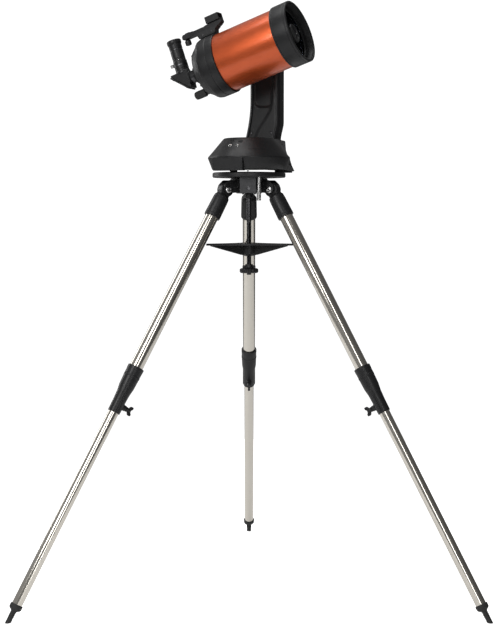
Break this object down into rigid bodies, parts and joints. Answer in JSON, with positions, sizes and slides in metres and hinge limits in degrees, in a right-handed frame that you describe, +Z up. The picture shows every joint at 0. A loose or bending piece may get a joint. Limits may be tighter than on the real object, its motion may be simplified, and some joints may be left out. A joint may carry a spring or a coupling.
{
  "type": "maksutov telescope",
  "caption": "Short catadioptric telescope on a single-arm motorised mount, with a star diagonal, a dot finder and a folding steel tripod with a tilting top plate and a spreader tray.",
  "frame": {"origin": "on the ground, at the middle of the footprint of the spread tripod", "axes": "+Z up, +X to the right of someone who stands in front, between two of the legs, who looks along +Y"},
  "size_m": [1.105, 0.9586, 1.4299],
  "materials": {
    "black_plastic": "satin moulded, slightly textured",
    "black_casting": "satin black powder coat",
    "bright_fittings": "bright plated",
    "steel_tube": "polished stainless",
    "rubber": "matte",
    "brass_gear": "machined",
    "orange_paint": "metallic burnt orange, semi-gloss",
    "coated_glass": "anti-reflection coated",
    "mirror_glass": "aluminised",
    "circuit_board": "green board"
  },
  "bodies": {
    "head": {"tripod_head": "black_casting", "center_rod": "bright_fittings", "leg_left_bolt": "bright_fittings", "leg_right_bolt": "bright_fittings", "leg_back_bolt": "bright_fittings"},
    "top_plate": {"tilt_plate": "black_casting", "tilt_pin": "bright_fittings", "base_plate": "black_casting", "azimuth_gear": "brass_gear"},
    "mount_screw": {"mount_screw": "bright_fittings"},
    "mount": {"base_housing": "black_plastic", "base_chassis": "steel_tube", "azimuth_motor": "steel_tube", "circuit_board": "circuit_board", "battery_pack": "black_plastic", "arm_shell": "black_plastic", "arm_cover": "black_plastic", "altitude_motor": "steel_tube"},
    "battery_door": {"battery_door": "black_plastic"},
    "power_switch": {"power_switch": "black_plastic"},
    "optical_tube": {"saddle": "black_casting", "altitude_gear": "brass_gear", "tube": "orange_paint", "front_cell": "black_plastic", "retaining_ring": "black_casting", "corrector_lens": "coated_glass", "secondary_cell": "black_casting", "rear_cell": "black_plastic", "baffle_tube": "black_casting", "visual_back": "black_casting", "finder_bar": "black_plastic", "finder_hood": "black_plastic"},
    "focus_knob": {"focus_knob": "rubber"},
    "primary_mirror": {"primary_mirror": "mirror_glass"},
    "visual_screw": {"visual_screw": "bright_fittings"},
    "diagonal": {"diagonal": "black_plastic", "diagonal_plate": "black_plastic"},
    "eyepiece": {"eyepiece": "black_plastic"},
    "diagonal_screw": {"diagonal_screw": "bright_fittings"},
    "finder_dial": {"finder_dial": "black_plastic"},
    "tray": {"accessory_tray": "black_plastic"},
    "tray_knob": {"tray_knob": "black_plastic"},
    "leg_left": {"leg_left_socket": "black_plastic", "leg_left_upper_tube": "steel_tube", "leg_left_clamp": "black_plastic"},
    "leg_left_lower": {"leg_left_lower_tube": "steel_tube", "leg_left_foot": "rubber"},
    "leg_left_knob": {"leg_left_clamp_knob": "black_plastic"},
    "leg_right": {"leg_right_socket": "black_plastic", "leg_right_upper_tube": "steel_tube", "leg_right_clamp": "black_plastic"},
    "leg_right_lower": {"leg_right_lower_tube": "steel_tube", "leg_right_foot": "rubber"},
    "leg_right_knob": {"leg_right_clamp_knob": "black_plastic"},
    "leg_back": {"leg_back_socket": "black_plastic", "leg_back_upper_tube": "steel_tube", "leg_back_clamp": "black_plastic"},
    "leg_back_lower": {"leg_back_lower_tube": "steel_tube", "leg_back_foot": "rubber"},
    "leg_back_knob": {"leg_back_clamp_knob": "black_plastic"}
  },
  "joints": [
    {"name": "plate_tilt", "type": "hinge", "parent": "head", "child": "top_plate", "pos_m": [-0.0025, -0.2185, 0.984], "axis": [1, 0, 0], "range_deg": [0, 35]},
    {"name": "mount_screw_turn", "type": "hinge", "parent": "top_plate", "child": "mount_screw", "pos_m": [0.0235, -0.2215, 0.99], "axis": [0, 0, 1], "range_deg": [0, 1080]},
    {"name": "azimuth", "type": "hinge", "parent": "top_plate", "child": "mount", "pos_m": [0, -0.1575, 1.06], "axis": [0, 0, 1], "continuous": true},
    {"name": "battery_door_hinge", "type": "hinge", "parent": "mount", "child": "battery_door", "pos_m": [-0.04188, -0.24941, 1.0263], "axis": [0.91, -0.4147, 0], "range_deg": [0, 80]},
    {"name": "power_switch_slide", "type": "slide", "parent": "mount", "child": "power_switch", "axis": [0.9537, -0.3007, 0], "range_m": [0, 0.003]},
    {"name": "altitude", "type": "hinge", "parent": "mount", "child": "optical_tube", "pos_m": [0, -0.1575, 1.312], "axis": [-0.4147, -0.91, 0], "range_deg": [-26, 41]},
    {"name": "focus_turn", "type": "hinge", "parent": "optical_tube", "child": "focus_knob", "pos_m": [-0.11843, -0.09473, 1.21786], "axis": [0.8614, -0.3926, 0.3223], "range_deg": [-1800, 1800]},
    {"name": "mirror_slide", "type": "slide", "parent": "optical_tube", "child": "primary_mirror", "axis": [0.8614, -0.3926, 0.3223], "range_m": [-0.00374, 0.00374]},
    {"name": "visual_screw_turn", "type": "hinge", "parent": "optical_tube", "child": "visual_screw", "pos_m": [-0.13139, -0.09762, 1.29242], "axis": [-0.2932, 0.1336, 0.9466], "range_deg": [0, 720]},
    {"name": "diagonal_turn", "type": "hinge", "parent": "optical_tube", "child": "diagonal", "pos_m": [-0.13783, -0.09469, 1.26044], "axis": [0.8614, -0.3926, 0.3223], "range_deg": [-90, 90]},
    {"name": "eyepiece_slide", "type": "slide", "parent": "diagonal", "child": "eyepiece", "axis": [-0.2932, 0.1336, 0.9466], "range_m": [0, 0.025]},
    {"name": "diagonal_screw_turn", "type": "hinge", "parent": "diagonal", "child": "diagonal_screw", "pos_m": [-0.18949, -0.07114, 1.28759], "axis": [-0.8614, 0.3926, -0.3223], "range_deg": [0, 720]},
    {"name": "finder_dial_turn", "type": "hinge", "parent": "optical_tube", "child": "finder_dial", "pos_m": [-0.14954, -0.08935, 1.34479], "axis": [-0.2932, 0.1336, 0.9466], "range_deg": [0, 270]},
    {"name": "leg_left_fold", "type": "hinge", "parent": "head", "child": "leg_left", "pos_m": [-0.05716, -0.1905, 0.981], "axis": [0.5, -0.866, 0], "range_deg": [0, 24]},
    {"name": "leg_left_extend", "type": "slide", "parent": "leg_left", "child": "leg_left_lower", "axis": [0.4316, 0.2492, 0.8669], "range_m": [0, 0.42]},
    {"name": "leg_left_knob_turn", "type": "hinge", "parent": "leg_left", "child": "leg_left_knob", "pos_m": [-0.28456, -0.32179, 0.46409], "axis": [0.7508, 0.4335, -0.4984], "range_deg": [0, 360]},
    {"name": "leg_right_fold", "type": "hinge", "parent": "head", "child": "leg_right", "pos_m": [0.05716, -0.1905, 0.981], "axis": [0.5, 0.866, 0], "range_deg": [0, 24]},
    {"name": "leg_right_extend", "type": "slide", "parent": "leg_right", "child": "leg_right_lower", "axis": [-0.4316, 0.2492, 0.8669], "range_m": [0, 0.42]},
    {"name": "leg_right_knob_turn", "type": "hinge", "parent": "leg_right", "child": "leg_right_knob", "pos_m": [0.28456, -0.32179, 0.46409], "axis": [-0.7508, 0.4335, -0.4984], "range_deg": [0, 360]},
    {"name": "leg_back_fold", "type": "hinge", "parent": "head", "child": "leg_back", "pos_m": [0, -0.0915, 0.981], "axis": [-1, 0, 0], "range_deg": [0, 24]},
    {"name": "leg_back_extend", "type": "slide", "parent": "leg_back", "child": "leg_back_lower", "axis": [0, -0.4984, 0.8669], "range_m": [0, 0.42]},
    {"name": "leg_back_knob_turn", "type": "hinge", "parent": "leg_back", "child": "leg_back_knob", "pos_m": [0, 0.17108, 0.46409], "axis": [0, -0.8669, -0.4984], "range_deg": [0, 360]},
    {"name": "tray_turn", "type": "hinge", "parent": "head", "child": "tray", "pos_m": [0, -0.1575, 0.85], "axis": [0, 0, 1], "range_deg": [0, 60]},
    {"name": "tray_knob_turn", "type": "hinge", "parent": "head", "child": "tray_knob", "pos_m": [0, -0.1575, 0.785], "axis": [0, 0, 1], "range_deg": [0, 1080]}
  ],
  "couplings": [
    {"joint": "focus_turn", "follows": "mirror_slide", "rad_per_m": 8377.6},
    {"joint": "leg_right_fold", "follows": "leg_left_fold", "ratio": 1},
    {"joint": "leg_back_fold", "follows": "leg_left_fold", "ratio": 1},
    {"joint": "tray_turn", "follows": "leg_left_fold", "ratio": 2.5}
  ]
}
